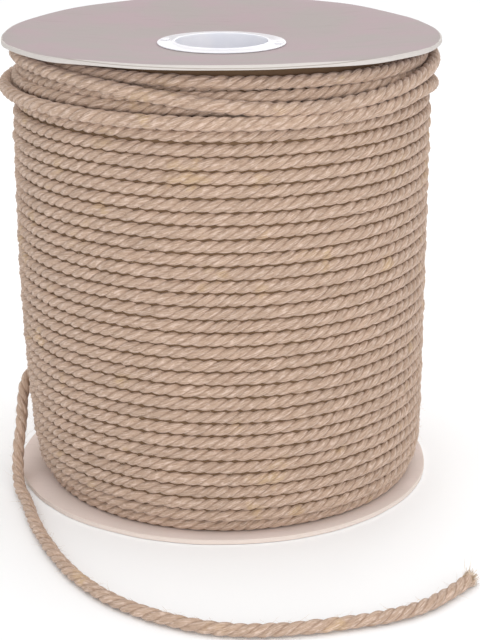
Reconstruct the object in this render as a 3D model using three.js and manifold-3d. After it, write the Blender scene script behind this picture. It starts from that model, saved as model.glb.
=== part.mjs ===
// A coil of jute rope wound on a board reel, with one loose end that lies on the floor.
// Millimetres, +Z up. The origin is the middle of the bottom flange's underside.
import * as THREE from 'three';
import { mergeVertices } from 'three/addons/utils/BufferGeometryUtils.js';
import Module from 'manifold-3d';

// Driving dimensions
const ROPE_DIAMETER = 8;
const FLANGE_RADIUS = 137.5;
const TOP_FLANGE_RADIUS = 138.6;
const BOARD = 3;
const BORE_RADIUS = 29.5;
const GAP = 0.3;

// The top flange is dished. Its bush holds the middle down at middleHeight, and from levelRadius
// outwards the rope pushes the board up by rise, saddle more of it at the front and the back and
// saddle less at the sides.
const DISH = { middleHeight: 284.3, levelRadius: 42.5, rise: 8.5, saddle: 2.2 };

// The winding: level turns, one above the other, between the flanges
const WINDING_RADIUS = 133.6;
const TURNS = 35;
const FIRST_TURN = 7.4;
const LAST_PRESSED_TURN = 31;
const TURN_PITCH = 8.18;
const COLUMNS = 37;
const GROOVE_DEPTH = 2.8;
const WAVER = 0.35;

// A turn's outline as shares of its half height, with how far each point lies in from its crest.
// A slack turn shows more of its round than one pressed between its neighbours.
const PRESSED_OUTLINE = [
  { share: -0.46, inset: 0 },
  { share: 0.46, inset: 0 },
];
const ROUND_OUTLINE = [
  { share: -0.86, inset: 2.0 },
  { share: -0.42, inset: 0.2 },
  { share: 0.42, inset: 0.2 },
  { share: 0.86, inset: 2.0 },
];

// The lowest turns lie further in, and the left side draws in towards the bottom
const BOTTOM_DRAW = 5.8;
const BOTTOM_DRAW_FADE = 0.9;
const LEFT_SAG = 8.6;
const LEFT_SAG_TOP = 165;

// Slack turns under the top flange. proud and bulge are how far a turn stands out over the others and
// how much more it does so towards bulgeAt. lift and lean are the same for its height.
const SLACK_TURNS = [
  { turn: 30, proud: -0.4, bulge: 0.3, bulgeAt: 0, lift: 0.0, lean: 0.3, leanAt: 60 },
  { turn: 31, proud: -1.2, bulge: 0.4, bulgeAt: 0, lift: 0.4, lean: 0.5, leanAt: 105 },
  { turn: 32, proud: -2.0, bulge: 2.0, bulgeAt: 190, lift: -1.2, lean: 0.3, leanAt: 90 },
  { turn: 33, proud: -2.4, bulge: 1.6, bulgeAt: 190, lift: -2.6, lean: 0.5, leanAt: 240 },
  { turn: 34, proud: -3.2, bulge: 0.6, bulgeAt: 320, lift: -4.4, lean: 1.2, leanAt: 300 },
  { turn: 35, proud: -6.0, bulge: 3.4, bulgeAt: 320, lift: -3.5, lean: 1.8, leanAt: 200 },
];

// Two loose turns lie outside the slack ones. Each has its crest at radius, and bulge more towards
// bulgeAt. Its height is lean more towards leanAt, and rise more or less round riseAt, fading away
// within riseWidth degrees.
const OUTER_TURNS = [
  {
    radius: 135.6,
    bulge: 2.6,
    bulgeAt: 330,
    height: 281.0,
    lean: 1.6,
    leanAt: 190,
    rise: -13.0,
    riseAt: 291,
    riseWidth: 47,
  },
  {
    radius: 139.2,
    bulge: 1.7,
    bulgeAt: 180,
    height: 260.6,
    lean: 0.8,
    leanAt: 210,
    rise: 4.5,
    riseAt: 336,
    riseWidth: 18,
  },
];
const LOOSE_ROUND = 4.3;
const PRESSED_ROUND = 6.3;
const LOOSE_COLUMNS = 48;
const LOOSE_SIDES = 8;

// The hub: a tube from flange to flange, and a collared bush in each flange's hole
const TUBE_INNER = 32.2;
const TUBE_OUTER = 35;
const SLEEVE_OUTER = 31.4;
const SLEEVE_DEPTH = 20;
const COLLAR_RADIUS = 41;
const COLLAR_RISE = 1;
const LIP_RISE = 0.8;
const LUG = { length: 5, width: 7, rise: 0.6, reach: 39.4, turnedBy: -11.5 };

// The loose end: three strands laid left-handed. Its route leaves the eighth turn on the left side,
// falls outside the bottom flange and sweeps round the front.
const STRANDS = 3;
const LAY_LENGTH = 25.6;
const STEPS_PER_LAY = 6;
const CREST_RADIUS = 3.9;
const CREST_HALF_ANGLE = THREE.MathUtils.degToRad(24);
const VALLEY_RADIUS = 2.9;
const SOCKET_LENGTH = 46;
const LOOSE_ROUTE = [
  [-122.4, 30.6, 65.2],
  [-125.0, 18.4, 65.4],
  [-128.0, 7.8, 63.4],
  [-132.6, 0.2, 56.4],
  [-134.8, -8.0, 45.2],
  [-134.8, -17.5, 34.2],
  [-135.7, -27.5, 23.6],
  [-135.7, -38.5, 13.8],
  [-134.4, -50.0, 7.2],
  [-131.8, -63.0, 4.6],
  [-126.6, -79.0, 4.2],
  [-118.6, -109.5, 4.2],
  [-108.6, -138.5, 4.2],
  [-97.0, -166.0, 4.2],
  [-83.0, -191.0, 4.2],
  [-63.0, -215.5, 4.2],
  [-38.0, -235.0, 4.2],
  [-12.0, -247.5, 4.2],
  [12.0, -252.0, 4.2],
  [38.0, -250.5, 4.2],
  [66.0, -244.5, 4.2],
  [92.0, -236.5, 4.2],
  [112.0, -226.0, 4.2],
  [127.0, -212.0, 4.2],
  [138.0, -199.0, 4.2],
  [142.5, -193.5, 4.2],
];

const FINISH = {
  jute: { color: 0xbfa488, roughness: 0.95, metalness: 0 },
  board: { color: 0xbdb2ac, roughness: 0.85, metalness: 0 },
  plastic: { color: 0xe8e6ee, roughness: 0.35, metalness: 0 },
};

const wasm = await Module();
wasm.setup();

/** A closed geometry as a solid for joining and cutting. */
function solidOf(geometry) {
  const bare = geometry.clone();
  bare.deleteAttribute('normal');
  bare.deleteAttribute('uv');
  const merged = mergeVertices(bare, 1e-4);
  return new wasm.Manifold(new wasm.Mesh({
    numProp: 3,
    vertProperties: Float32Array.from(merged.attributes.position.array),
    triVerts: Uint32Array.from(merged.index.array),
  }));
}

/** A joined or cut solid as a geometry again. */
function geometryOf(solid) {
  const mesh = solid.getMesh();
  const geometry = new THREE.BufferGeometry();
  geometry.setAttribute('position', new THREE.BufferAttribute(mesh.vertProperties, 3));
  geometry.setIndex(new THREE.BufferAttribute(mesh.triVerts, 1));
  geometry.computeVertexNormals();
  return geometry;
}

/** Joins rings of points into one closed skin, round onto itself or with an end face at each end. */
function skin(rings, roundOnItself) {
  const count = rings[0].length;
  const points = rings.flat();
  const index = [];
  const last = roundOnItself ? rings.length : rings.length - 1;
  for (let i = 0; i < last; i += 1) {
    const here = i * count;
    const next = ((i + 1) % rings.length) * count;
    for (let k = 0; k < count; k += 1) {
      const k1 = (k + 1) % count;
      index.push(here + k, here + k1, next + k1);
      index.push(here + k, next + k1, next + k);
    }
  }
  if (!roundOnItself) {
    const end = (rings.length - 1) * count;
    const middle = (ring) => ring.reduce((sum, p) => sum.add(p), new THREE.Vector3()).divideScalar(count);
    const firstMiddle = points.push(middle(rings[0])) - 1;
    const lastMiddle = points.push(middle(rings[rings.length - 1])) - 1;
    for (let k = 0; k < count; k += 1) {
      const k1 = (k + 1) % count;
      index.push(firstMiddle, k1, k);
      index.push(lastMiddle, end + k, end + k1);
    }
  }
  const geometry = new THREE.BufferGeometry().setFromPoints(points);
  geometry.setIndex(index);
  geometry.computeVertexNormals();
  return geometry;
}

/** A turned piece about the Z axis from a closed outline of [radius, height], listed anticlockwise. */
function turned(outline, segments) {
  const closed = [...outline, outline[0]].map(([radius, height]) => new THREE.Vector2(radius, height));
  const geometry = new THREE.LatheGeometry(closed, segments);
  geometry.rotateX(Math.PI / 2);
  return geometry;
}

/** How far the outer crest of a level turn lies from the axis, before it is slack. */
function crestRadius(turn, height, azimuth) {
  const low = Math.max(0, 1 - height / LEFT_SAG_TOP) ** 1.8;
  const leftness = Math.max(0, -Math.cos(azimuth)) ** 1.5;
  const draw = BOTTOM_DRAW * Math.exp((1 - turn) / BOTTOM_DRAW_FADE);
  const waver = WAVER * Math.sin(2.4 * turn + 3 * azimuth);
  return WINDING_RADIUS - LEFT_SAG * low * leftness - draw + waver;
}

/** How far the top flange's board stands over its level middle at one place. */
function dishRise(radius, azimuth) {
  const share = Math.max(0, radius - DISH.levelRadius) / (TOP_FLANGE_RADIUS - DISH.levelRadius);
  return share * (DISH.rise - DISH.saddle * Math.cos(2 * azimuth));
}

/** The winding's upper face follows the underside of the top flange. */
function topFace(radius, azimuth) {
  return DISH.middleHeight + dishRise(radius, azimuth) - BOARD - GAP;
}

/** The height and crest radius of one turn at one azimuth. */
function turnAt(turn, azimuth) {
  let height = FIRST_TURN + (turn - 1) * TURN_PITCH;
  let radius = crestRadius(turn, height, azimuth);
  const slack = SLACK_TURNS.find((row) => row.turn === turn);
  if (slack) {
    radius += slack.proud + slack.bulge * Math.cos(azimuth - THREE.MathUtils.degToRad(slack.bulgeAt));
    height += slack.lift + slack.lean * Math.cos(azimuth - THREE.MathUtils.degToRad(slack.leanAt));
  }
  const highest = topFace(radius - GROOVE_DEPTH, azimuth) - ROPE_DIAMETER / 2;
  return {
    height: Math.min(height, highest),
    radius,
    outline: turn > LAST_PRESSED_TURN ? ROUND_OUTLINE : PRESSED_OUTLINE,
  };
}

/** The middle of one outer turn at one azimuth, as its distance from the axis and its height. */
function outerTurnAt(turn, azimuth) {
  const towards = (angle) => Math.cos(azimuth - THREE.MathUtils.degToRad(angle));
  const off = THREE.MathUtils.radToDeg(Math.acos(towards(turn.riseAt)));
  const rise = turn.rise * Math.exp(-((off / turn.riseWidth) ** 2));
  const radius = turn.radius + turn.bulge * towards(turn.bulgeAt) - ROPE_DIAMETER / 2;
  const highest = topFace(radius, azimuth) - LOOSE_ROUND - GAP;
  return { radius, height: Math.min(turn.height + turn.lean * towards(turn.leanAt) + rise, highest) };
}

/** One outer turn as a closed ring of plain round rope, deeper where it presses on the turns behind. */
function outerTurn(turn) {
  return skin(Array.from({ length: LOOSE_COLUMNS }, (_, i) => {
    const azimuth = (2 * Math.PI * i) / LOOSE_COLUMNS;
    const { radius, height } = outerTurnAt(turn, azimuth);
    return Array.from({ length: LOOSE_SIDES }, (_unused, k) => {
      const angle = (-2 * Math.PI * k) / LOOSE_SIDES;
      const depth = Math.cos(angle) < 0 ? PRESSED_ROUND : LOOSE_ROUND;
      const reach = radius + depth * Math.cos(angle);
      return new THREE.Vector3(
        reach * Math.cos(azimuth),
        reach * Math.sin(azimuth),
        height + LOOSE_ROUND * Math.sin(angle),
      );
    });
  }), true);
}

/** One upright section through the winding, from its upper inner corner down the turns and back. */
function windingSection(azimuth) {
  const turns = Array.from({ length: TURNS }, (_, i) => turnAt(i + 1, azimuth));
  const bottom = BOARD + GAP;
  const inner = TUBE_OUTER + GAP;
  const outline = [[inner, bottom], [turns[0].radius - GROOVE_DEPTH, bottom]];
  turns.forEach((turn, i) => {
    const above = turns[i + 1];
    const below = turns[i - 1];
    const top = topFace(turn.radius - GROOVE_DEPTH, azimuth);
    const ceiling = above ? (turn.height + above.height) / 2 : top;
    const floor = below ? (turn.height + below.height) / 2 : bottom;
    const halfAbove = Math.min(ceiling - turn.height, ROPE_DIAMETER / 2);
    const halfBelow = Math.min(turn.height - floor, ROPE_DIAMETER / 2);
    turn.outline.forEach(({ share, inset }) => {
      const half = share > 0 ? halfAbove : halfBelow;
      outline.push([turn.radius - inset, turn.height + share * half]);
    });
    const valley = Math.min(turn.radius, above ? above.radius : turn.radius) - GROOVE_DEPTH;
    outline.push([valley, ceiling]);
  });
  outline.push([DISH.levelRadius, topFace(DISH.levelRadius, azimuth)]);
  outline.push([inner, topFace(inner, azimuth)]);
  return outline.reverse().map(([radius, height]) => new THREE.Vector3(
    radius * Math.cos(azimuth),
    radius * Math.sin(azimuth),
    height,
  ));
}

/** Rings of a round or stranded rope along a stretch of the loose end's route. */
function ropeRings(route, steps, section) {
  const frames = route.computeFrenetFrames(steps, false);
  const length = route.getLength();
  return Array.from({ length: steps + 1 }, (_, i) => {
    const share = i / steps;
    const centre = route.getPointAt(share);
    return section(share * length).map(({ angle, radius }) => centre.clone()
      .addScaledVector(frames.normals[i], radius * Math.cos(angle))
      .addScaledVector(frames.binormals[i], radius * Math.sin(angle)));
  });
}

/** The section of the three-strand rope at a distance along it: two crest points and a valley a strand. */
function strandSection(distance) {
  const twist = (-2 * Math.PI * distance) / LAY_LENGTH;
  const strandAngle = (2 * Math.PI) / STRANDS;
  return Array.from({ length: STRANDS }, (_, strand) => {
    const middle = twist + strand * strandAngle;
    return [
      { angle: middle - CREST_HALF_ANGLE, radius: CREST_RADIUS },
      { angle: middle + CREST_HALF_ANGLE, radius: CREST_RADIUS },
      { angle: middle + strandAngle / 2, radius: VALLEY_RADIUS },
    ];
  }).flat();
}

/** A plain round section with a clearance round the rope. */
function socketSection() {
  const sides = 12;
  const radius = ROPE_DIAMETER / 2 + GAP;
  return Array.from({ length: sides }, (_, i) => ({ angle: (2 * Math.PI * i) / sides, radius }));
}

const route = new THREE.CatmullRomCurve3(
  LOOSE_ROUTE.map((point) => new THREE.Vector3(...point)),
  false,
  'centripetal',
);

/** The first stretch of the route, begun a little earlier, for the hollow that the rope leaves by. */
function socketRoute() {
  const share = SOCKET_LENGTH / route.getLength();
  const start = route.getPointAt(0);
  const back = route.getTangentAt(0).multiplyScalar(-GAP);
  const stretch = [0.25, 0.5, 0.75, 1].map((part) => route.getPointAt(part * share));
  return new THREE.CatmullRomCurve3([start.clone().add(back), start, ...stretch], false, 'centripetal');
}

function ropeWinding() {
  const sections = Array.from({ length: COLUMNS }, (_, i) => windingSection((2 * Math.PI * i) / COLUMNS));
  const body = solidOf(skin(sections, true));
  const wound = OUTER_TURNS.reduce((sum, turn) => sum.add(solidOf(outerTurn(turn))), body);
  const hollow = solidOf(skin(ropeRings(socketRoute(), 12, socketSection), false));
  return geometryOf(wound.subtract(hollow));
}

function looseEnd() {
  const steps = Math.round((route.getLength() / LAY_LENGTH) * STEPS_PER_LAY);
  return skin(ropeRings(route, steps, strandSection), false);
}

/** The bottom flange is a flat round of board with a hole for its bush. */
function bottomFlange() {
  const hole = COLLAR_RADIUS + GAP;
  return turned([
    [hole, 0],
    [FLANGE_RADIUS, 0],
    [FLANGE_RADIUS, BOARD],
    [hole, BOARD],
  ], 72);
}

/** The top flange is the same board, level under the bush's collar and dished outside it. */
function topFlange() {
  const hole = SLEEVE_OUTER + GAP;
  const board = turned([
    [hole, -BOARD],
    [DISH.levelRadius, -BOARD],
    [TOP_FLANGE_RADIUS, -BOARD],
    [TOP_FLANGE_RADIUS, 0],
    [DISH.levelRadius, 0],
    [hole, 0],
  ], 72);
  const corners = board.attributes.position;
  for (let i = 0; i < corners.count; i += 1) {
    const radius = Math.hypot(corners.getX(i), corners.getY(i));
    const azimuth = Math.atan2(corners.getY(i), corners.getX(i));
    corners.setZ(i, corners.getZ(i) + dishRise(radius, azimuth));
  }
  board.computeVertexNormals();
  return board;
}

/** The top bush: a sleeve in the tube, and a flat collar with a lip round the bore and two small lugs. */
function topBush() {
  const collar = solidOf(turned([
    [BORE_RADIUS, -BOARD - SLEEVE_DEPTH],
    [SLEEVE_OUTER, -BOARD - SLEEVE_DEPTH],
    [SLEEVE_OUTER, GAP],
    [COLLAR_RADIUS, GAP],
    [COLLAR_RADIUS, COLLAR_RISE - 0.4],
    [COLLAR_RADIUS - 0.6, COLLAR_RISE],
    [BORE_RADIUS + 2.2, COLLAR_RISE],
    [BORE_RADIUS + 1.4, COLLAR_RISE + LIP_RISE],
    [BORE_RADIUS + 0.4, COLLAR_RISE + LIP_RISE],
    [BORE_RADIUS, COLLAR_RISE],
  ], 48));
  const lugs = [-1, 1].map((side) => {
    const lug = new THREE.BoxGeometry(LUG.length, LUG.width, 2 * LUG.rise);
    lug.translate(side * (LUG.reach - LUG.length / 2), 0, COLLAR_RISE);
    lug.rotateZ(THREE.MathUtils.degToRad(LUG.turnedBy));
    return solidOf(lug);
  });
  return geometryOf(collar.add(lugs[0]).add(lugs[1]));
}

/** The bottom bush lies flush in its flange, so that the reel stands flat. */
function bottomBush() {
  return turned([
    [BORE_RADIUS, 0],
    [COLLAR_RADIUS, 0],
    [COLLAR_RADIUS, BOARD],
    [SLEEVE_OUTER, BOARD],
    [SLEEVE_OUTER, BOARD + SLEEVE_DEPTH],
    [BORE_RADIUS, BOARD + SLEEVE_DEPTH],
  ], 48);
}

function coreTube() {
  const lower = BOARD + GAP;
  const upper = DISH.middleHeight - BOARD - GAP;
  return turned([
    [TUBE_INNER, lower],
    [TUBE_OUTER, lower],
    [TUBE_OUTER, upper],
    [TUBE_INNER, upper],
  ], 48);
}

/** A named piece with its own finish. */
function piece(name, geometry, finish) {
  const mesh = new THREE.Mesh(geometry, new THREE.MeshStandardMaterial(finish));
  mesh.name = name;
  return mesh;
}

const reel = new THREE.Group();
reel.add(piece('bottom_flange', bottomFlange(), FINISH.board));
reel.add(piece('bottom_bush', bottomBush(), FINISH.plastic));
reel.add(piece('core_tube', coreTube(), FINISH.plastic));
reel.add(piece('rope_winding', ropeWinding(), FINISH.jute));
reel.add(piece('loose_end', looseEnd(), FINISH.jute));

// The top flange and its bush sit at the height of the dished board's middle
const lid = new THREE.Group();
lid.position.z = DISH.middleHeight;
lid.add(piece('top_flange', topFlange(), FINISH.board));
lid.add(piece('top_bush', topBush(), FINISH.plastic));
reel.add(lid);

export default reel;
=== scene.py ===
"""Jute rope wound on a board reel, with one frayed end lying on the floor.

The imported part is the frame. Every rope, board and hub piece made here stands for one of its solids,
at the same place and size, in metres.
"""

import logging
import math
from collections.abc import Callable, Iterable, Sequence
from dataclasses import dataclass, field
from enum import Enum

import bpy  # noqa: E402
import numpy as np  # noqa: E402
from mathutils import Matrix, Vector  # noqa: E402


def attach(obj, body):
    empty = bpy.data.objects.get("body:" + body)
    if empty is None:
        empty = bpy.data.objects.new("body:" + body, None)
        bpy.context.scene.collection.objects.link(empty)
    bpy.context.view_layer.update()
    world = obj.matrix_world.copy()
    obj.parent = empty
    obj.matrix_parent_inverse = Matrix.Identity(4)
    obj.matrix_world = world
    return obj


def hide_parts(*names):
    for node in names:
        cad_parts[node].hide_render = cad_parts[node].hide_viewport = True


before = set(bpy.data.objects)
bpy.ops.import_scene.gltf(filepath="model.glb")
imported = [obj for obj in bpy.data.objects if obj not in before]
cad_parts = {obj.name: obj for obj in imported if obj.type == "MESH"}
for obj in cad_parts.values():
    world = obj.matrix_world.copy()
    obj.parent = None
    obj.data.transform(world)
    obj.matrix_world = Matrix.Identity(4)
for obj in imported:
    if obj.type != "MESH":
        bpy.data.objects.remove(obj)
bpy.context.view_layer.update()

log = logging.getLogger("jute_reel")

ROOT = "root"
STRAND_MAP = "StrandMap"

# A wound line has a point every so many degrees
WOUND_STEP = 3.0
# How far most of a waver's values reach on either side of nothing
WAVER_REACH = 1.5
# The cut face of a rope takes its tone from this place across a strand
END_STRAND = 0.4
# Shortest and longest of the short hairs on the rope
HAIR_LENGTHS = (0.002, 0.0065)


class Slot(Enum):
    """The material slots."""

    JUTE = "jute"
    BOARD = "board"
    HUB = "hub_plastic"


class Node(Enum):
    """The part's solids, by the names of their nodes."""

    BOTTOM_FLANGE = "bottom_flange"
    BOTTOM_BUSH = "bottom_bush"
    CORE_TUBE = "core_tube"
    WINDING = "rope_winding"
    LOOSE_END = "loose_end"
    TOP_FLANGE = "top_flange"
    TOP_BUSH = "top_bush"


def screen_colour(red: int, green: int, blue: int) -> tuple[float, float, float, float]:
    """A colour as a screen shows it, turned into light values."""
    parts = [value / 255 for value in (red, green, blue)]
    linear = [v / 12.92 if v <= 0.04045 else ((v + 0.055) / 1.055) ** 2.4 for v in parts]
    return (*linear, 1.0)


def soft_step(value: np.ndarray | float) -> np.ndarray | float:
    """A step from 0 to 1 with no kink at either end."""
    held = np.clip(value, 0.0, 1.0)
    return held * held * (3.0 - 2.0 * held)


class Waver:
    """Smooth seeded unevenness along a length, as the sum of a few slow waves."""

    def __init__(self, seed: int, longest: float, waves: int = 5) -> None:
        """Draws the waves.

        Args:
            seed: Start of the random numbers.
            longest: Longest wavelength, in the units of the length.
            waves: How many waves are added up.
        """
        rng = np.random.default_rng(seed)
        self.rates = 2 * math.pi / longest * rng.uniform(1.0, 3.2, waves)
        self.starts = rng.uniform(0, 2 * math.pi, waves)
        self.shares = rng.uniform(0.5, 1.0, waves)
        self.shares /= np.sqrt((self.shares**2).sum())

    def at(self, place: np.ndarray) -> np.ndarray:
        """The unevenness at each place, mostly between -1.5 and 1.5."""
        waves = np.sin(np.multiply.outer(place, self.rates) + self.starts)
        return (waves * self.shares).sum(axis=-1)


class Bench:
    """Blender's modelling tools, used as by hand."""

    @staticmethod
    def clear() -> None:
        """Leaves edit mode and deselects everything."""
        if bpy.context.object and bpy.context.object.mode != "OBJECT":
            bpy.ops.object.mode_set(mode="OBJECT")
        bpy.ops.object.select_all(action="DESELECT")

    @staticmethod
    def pick(obj: bpy.types.Object) -> None:
        """Makes one object the selected and active one."""
        Bench.clear()
        obj.select_set(True)
        bpy.context.view_layer.objects.active = obj

    @staticmethod
    def edit(obj: bpy.types.Object) -> None:
        """Opens one object in edit mode."""
        Bench.pick(obj)
        bpy.ops.object.mode_set(mode="EDIT")

    @staticmethod
    def select_edges(obj: bpy.types.Object, wanted: Callable[[Vector, Vector], bool]) -> None:
        """Selects edges by the places of their two ends.

        Args:
            obj: The object, which is in edit mode and stays there.
            wanted: Says of an edge's two ends whether it is selected.
        """
        bpy.ops.mesh.select_mode(type="EDGE")
        bpy.ops.mesh.select_all(action="DESELECT")
        bpy.ops.object.mode_set(mode="OBJECT")
        vertices = obj.data.vertices
        for edge in obj.data.edges:
            first, second = edge.vertices
            edge.select = wanted(vertices[first].co, vertices[second].co)
        bpy.ops.object.mode_set(mode="EDIT")

    @staticmethod
    def modify(obj: bpy.types.Object, kind: str, **values: object) -> None:
        """Adds a modifier with these values and applies it."""
        Bench.pick(obj)
        modifier = obj.modifiers.new(kind.title(), kind)
        for name, value in values.items():
            setattr(modifier, name, value)
        bpy.ops.object.modifier_apply(modifier=modifier.name)

    @staticmethod
    def close_up(obj: bpy.types.Object, distance: float = 1e-6) -> None:
        """Merges doubled points and turns every face outwards."""
        Bench.edit(obj)
        bpy.ops.mesh.select_all(action="SELECT")
        bpy.ops.mesh.remove_doubles(threshold=distance)
        bpy.ops.mesh.normals_make_consistent(inside=False)
        bpy.ops.object.mode_set(mode="OBJECT")

    @staticmethod
    def smooth(obj: bpy.types.Object, angle_deg: float) -> None:
        """Smooth shading, but for edges sharper than the angle."""
        Bench.pick(obj)
        bpy.ops.object.shade_smooth_by_angle(angle=math.radians(angle_deg))

    @staticmethod
    def settle(obj: bpy.types.Object) -> None:
        """Puts the object's own place, turn and size into its mesh."""
        Bench.pick(obj)
        bpy.ops.object.transform_apply(location=True, rotation=True, scale=True)

    @staticmethod
    def spun(name: str, outline: Sequence[tuple[float, float]], steps: int) -> bpy.types.Object:
        """Draws a closed outline and spins it about the reel's axis.

        Args:
            name: The new piece's name.
            outline: Radius and height of each corner, in order round the section.
            steps: How many steps one full turn has.

        Returns:
            The closed piece.
        """
        mesh = bpy.data.meshes.new(name)
        count = len(outline)
        edges = [(i, (i + 1) % count) for i in range(count)]
        mesh.from_pydata([(radius, 0.0, height) for radius, height in outline], edges, [])
        obj = bpy.data.objects.new(name, mesh)
        bpy.context.collection.objects.link(obj)
        Bench.edit(obj)
        bpy.ops.mesh.select_all(action="SELECT")
        bpy.ops.mesh.spin(
            steps=steps, angle=2 * math.pi, center=(0, 0, 0), axis=(0, 0, 1), dupli=False
        )
        Bench.close_up(obj)
        return obj


def arc(centre: tuple[float, float], radius: float, start: float, end: float, steps: int) -> list:
    """Points of an arc in a section, from one angle to another in degrees."""
    angles = np.radians(np.linspace(start, end, steps + 1))
    return [(centre[0] + radius * math.cos(a), centre[1] + radius * math.sin(a)) for a in angles]


def dress(
    obj: bpy.types.Object, finish: bpy.types.Material, slot: Slot, *nodes: Node
) -> bpy.types.Object:
    """Gives a piece its finish and its place on the part.

    Args:
        obj: The finished piece.
        finish: Its only material.
        slot: The slot that the finish belongs to; not used.
        nodes: The solids that the piece stands for.

    Returns:
        The same piece.
    """
    obj.data.materials.clear()
    obj.data.materials.append(finish)
    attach(obj, ROOT)
    if nodes:
        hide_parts(*[node.value for node in nodes])
    log.info("%s: %d faces", obj.name, len(obj.data.polygons))
    return obj


@dataclass(frozen=True)
class ReelSizes:
    """The reel's driving sizes, the same as the part's."""

    flange_radius: float = 0.1375
    top_flange_radius: float = 0.1386
    board: float = 0.003
    bore_radius: float = 0.0295
    gap: float = 0.0003
    middle_height: float = 0.2843
    level_radius: float = 0.0425
    rim_rise: float = 0.0085
    rim_saddle: float = 0.0022
    tube_inner: float = 0.0322
    tube_outer: float = 0.035
    sleeve_outer: float = 0.0314
    sleeve_depth: float = 0.020
    collar_radius: float = 0.041
    collar_rise: float = 0.001

    def dish_rise(self, radius: np.ndarray, azimuth: np.ndarray) -> np.ndarray:
        """How far the top board stands over its level middle."""
        width = self.top_flange_radius - self.level_radius
        share = np.maximum(0.0, radius - self.level_radius) / width
        return share * (self.rim_rise - self.rim_saddle * np.cos(2 * azimuth))


REEL = ReelSizes()


class Graph:
    """A node tree, with short ways to add nodes and join them."""

    def __init__(self, tree: bpy.types.NodeTree) -> None:
        """Takes the tree that the nodes go into."""
        self.tree = tree

    def add(self, kind: str, inputs: dict | None = None, **settings: object) -> bpy.types.Node:
        """Adds one node.

        Args:
            kind: The node's type name without its ShaderNode prefix.
            inputs: Values or sockets for its inputs, by name or number.
            settings: Other settings of the node.

        Returns:
            The new node.
        """
        node = self.tree.nodes.new("ShaderNode" + kind)
        for name, value in settings.items():
            setattr(node, name, value)
        for key, value in (inputs or {}).items():
            self.feed(node.inputs[key], value)
        return node

    def feed(self, socket: bpy.types.NodeSocket, value: object) -> None:
        """Joins a socket to an input, or sets the input to a value."""
        if isinstance(value, bpy.types.NodeSocket):
            self.tree.links.new(value, socket)
        else:
            socket.default_value = value

    def maths(self, operation: str, first: object, second: object = 0.0) -> bpy.types.NodeSocket:
        """The result of one sum."""
        node = self.add("Math", {0: first, 1: second}, operation=operation)
        return node.outputs[0]

    def dot(self, vector: object, weights: tuple[float, float, float]) -> bpy.types.NodeSocket:
        """The weighted sum of a vector's parts."""
        node = self.add("VectorMath", {0: vector, 1: weights}, operation="DOT_PRODUCT")
        return node.outputs["Value"]

    def together(self, x: object, y: object, z: object = 0.0) -> bpy.types.NodeSocket:
        """One vector out of three values."""
        return self.add("CombineXYZ", {0: x, 1: y, 2: z}).outputs[0]

    def noise(self, vector: object, scale: float, detail: float = 2.0) -> bpy.types.NodeSocket:
        """Smooth noise from 0 to 1."""
        node = self.add("TexNoise", {"Vector": vector, "Scale": scale, "Detail": detail})
        return node.outputs["Fac"]

    def band(self, value: object, low: float, high: float) -> bpy.types.NodeSocket:
        """A value spread so that low becomes 0 and high becomes 1, with soft ends."""
        node = self.add("MapRange", {0: value, 1: low, 2: high}, interpolation_type="SMOOTHSTEP")
        return node.outputs[0]

    def blend(self, share: object, first: object, second: object) -> bpy.types.NodeSocket:
        """A colour between two others."""
        node = self.add("Mix", {0: share, 6: first, 7: second}, data_type="RGBA")
        return node.outputs[2]

    def shade(self, colour: object, amount: object) -> bpy.types.NodeSocket:
        """A colour made darker or lighter by a grey amount."""
        grey = self.together(amount, amount, amount)
        node = self.add(
            "Mix", {0: 1.0, 6: colour, 7: grey}, data_type="RGBA", blend_type="MULTIPLY"
        )
        return node.outputs[2]

    def use(self, group: bpy.types.NodeTree, **inputs: object) -> bpy.types.Node:
        """Places a node group, with its inputs given by name with _ for each space."""
        node = self.add("Group", node_tree=group)
        for name, value in inputs.items():
            self.feed(node.inputs[name.replace("_", " ")], value)
        return node


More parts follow.
